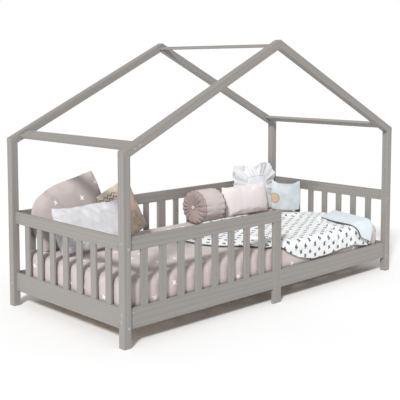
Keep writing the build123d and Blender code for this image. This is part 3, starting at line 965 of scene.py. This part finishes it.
def ridge_height(place):
    """The height that the folds add at a place on the quilt. A pinched fold has a narrow furrow along it."""
    total = furrow = 0.0
    for line, height, width, pinch in RIDGES:
        nearest = 1e9
        for start, stop in zip(line, line[1:]):
            start, stop = np.array(start), np.array(stop)
            way = stop - start
            t = min(1.0, max(0.0, (place - start) @ way / (way @ way)))
            nearest = min(nearest, np.linalg.norm(place - start - t * way))
        total = max(total, height * math.exp(-(nearest / width) ** 2))
        furrow = max(furrow, (height + pinch) * math.exp(-(nearest / PINCH_WIDTH) ** 2) * (pinch > 0))
    return total - furrow


def over_edge(x, s, lift):
    """A place on the bed's top, or past its front edge round the corner and down the side."""
    bend = BED_FRONT + EDGE_RADIUS
    reach = EDGE_RADIUS + lift
    if s >= bend:
        return (x, s, BED_TOP + lift)
    past = bend - s
    quarter = math.pi / 2 * reach
    if past < quarter:
        angle = past / reach
        return (x, bend - reach * math.sin(angle), BED_TOP - EDGE_RADIUS + reach * math.cos(angle))
    return (x, bend - reach, BED_TOP - EDGE_RADIUS - (past - quarter))


def folded(place):
    """The turned corner rolls over the fold line and comes back on top. Gives the place and its lift."""
    start, stop = np.array(FOLD_START), np.array(FOLD_STOP)
    way = (stop - start) / np.linalg.norm(stop - start)
    across = np.array((way[1], -way[0]))
    past = (place - start) @ across
    if past <= 0:
        return place, 0.0
    turn = past / FOLD_RADIUS
    if turn < math.pi:
        flat = place - past * across + FOLD_RADIUS * math.sin(turn) * across
        return flat, FOLD_RADIUS * (1 - math.cos(turn))
    back = past - math.pi * FOLD_RADIUS
    return place - (past + back) * across, 2 * FOLD_RADIUS


def make_quilt():
    """The quilt, from its flat cut: folded, hung over the edge, and filled where it is not at a border."""
    across, deep = QUILT_ACROSS, QUILT_DEEP
    grid = flat_quilt(across, deep)
    points, flat, faces = [], [], []
    for i in range(across + 1):
        for j in range(deep + 1):
            cut = grid[i, j]
            place, lift = folded(cut)
            border = min(1.0, min(i, across - i, j) / BORDER_CELLS, (deep - j) / BACK_BORDER_CELLS)
            hanging = 0.84 * min(1.0, max(0.0, (BED_FRONT - place[1]) / 0.05))
            puff = PUFF * border * border * (3 - 2 * border) * (1 - hanging)
            wave = 2.2 * MM * ripple((*place, 0), 0.13, 11) + 3.5 * MM * ripple((*place, 0), 0.3, 12)
            on_top = min(1.0, max(0.35, (place[1] - BED_FRONT) / 0.08)) * (0.3 + 0.7 * border)
            height = QUILT_THICKNESS + 1 * MM + puff + (max(-3 * MM, wave) + ridge_height(place)) * on_top
            points.append(over_edge(place[0], place[1], max(QUILT_THICKNESS + MM, height) + lift))
            flat.append((cut[0] * PRINT_COS + cut[1] * PRINT_SIN, cut[1] * PRINT_COS - cut[0] * PRINT_SIN))
    for i in range(across):
        for j in range(deep):
            a = i * (deep + 1) + j
            faces.append((a, a + deep + 1, a + deep + 2, a + 1))
    quilt = new_object("quilt", points, faces)
    set_uv(quilt, flat)
    for material in (QUILT_FACE, QUILT_BACK, BINDING):
        quilt.data.materials.append(material)
    thick = quilt.modifiers.new("thick", "SOLIDIFY")
    thick.thickness = QUILT_THICKNESS
    thick.offset = -1
    thick.material_offset = 1
    thick.material_offset_rim = 2
    apply_modifiers(quilt)
    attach(quilt, "blanket")
    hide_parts("blanket")


make_mattress()
make_cushions()
make_ruffled()
make_bolster()
make_quilt()


# Floor, light and camera

def make_floor(reach=30.0):
    corners = [(-reach, -reach, 0), (reach, -reach, 0), (reach, reach, 0), (-reach, reach, 0)]
    floor = new_object("floor", corners, [(0, 1, 2, 3)], smooth=False)
    floor.data.materials.append(floor_paint())


def far_light(name, way, softness, strength):
    """Parallel light that travels along way, as from a large distant lamp."""
    data = bpy.data.lights.new(name, "SUN")
    data.angle = math.radians(softness)
    data.energy = strength
    lamp = bpy.data.objects.new(name, data)
    scene.collection.objects.link(lamp)
    lamp.rotation_euler = Vector(way).to_track_quat("-Z", "Y").to_euler()


SURROUND = 0.5
KEY_WAY, KEY_SOFTNESS, KEY_STRENGTH = (0.72, 0.46, -0.62), 9, 3.1


def make_light():
    """A pale surround and one soft key light from above the front left."""
    world = bpy.data.worlds.new("studio")
    scene.world = world
    world.use_nodes = True
    background = world.node_tree.nodes["Background"]
    background.inputs["Color"].default_value = (1.0, 1.0, 1.0, 1.0)
    background.inputs["Strength"].default_value = SURROUND
    shown = world.node_tree.nodes.new("ShaderNodeBackground")
    shown.inputs["Color"].default_value = (1.0, 1.0, 1.0, 1.0)
    shown.inputs["Strength"].default_value = 1.0
    ray = world.node_tree.nodes.new("ShaderNodeLightPath")
    pick = world.node_tree.nodes.new("ShaderNodeMixShader")
    links = world.node_tree.links
    links.new(ray.outputs["Is Camera Ray"], pick.inputs[0])
    links.new(background.outputs[0], pick.inputs[1])
    links.new(shown.outputs[0], pick.inputs[2])
    links.new(pick.outputs[0], world.node_tree.nodes["World Output"].inputs["Surface"])
    far_light("key", KEY_WAY, KEY_SOFTNESS, KEY_STRENGTH)


CAMERA_PLACE = (-3.2220, -3.2414, 1.2496)
CAMERA_HEADING, CAMERA_PITCH = math.radians(46.22), math.radians(-4.854)
CAMERA_LENS, CAMERA_SHIFT = 73.174, -0.16


def make_camera():
    """The viewing angle: from the front left, 140 mm below the apex, slightly down, with a long lens."""
    data = bpy.data.cameras.new("camera")
    data.lens = CAMERA_LENS
    data.shift_y = CAMERA_SHIFT
    camera = bpy.data.objects.new("camera", data)
    scene.collection.objects.link(camera)
    camera.location = CAMERA_PLACE
    camera.rotation_euler = (math.pi / 2 + CAMERA_PITCH, 0, CAMERA_HEADING - math.pi / 2)
    scene.camera = camera


make_floor()
make_light()
make_camera()
scene.view_settings.view_transform = "Standard"
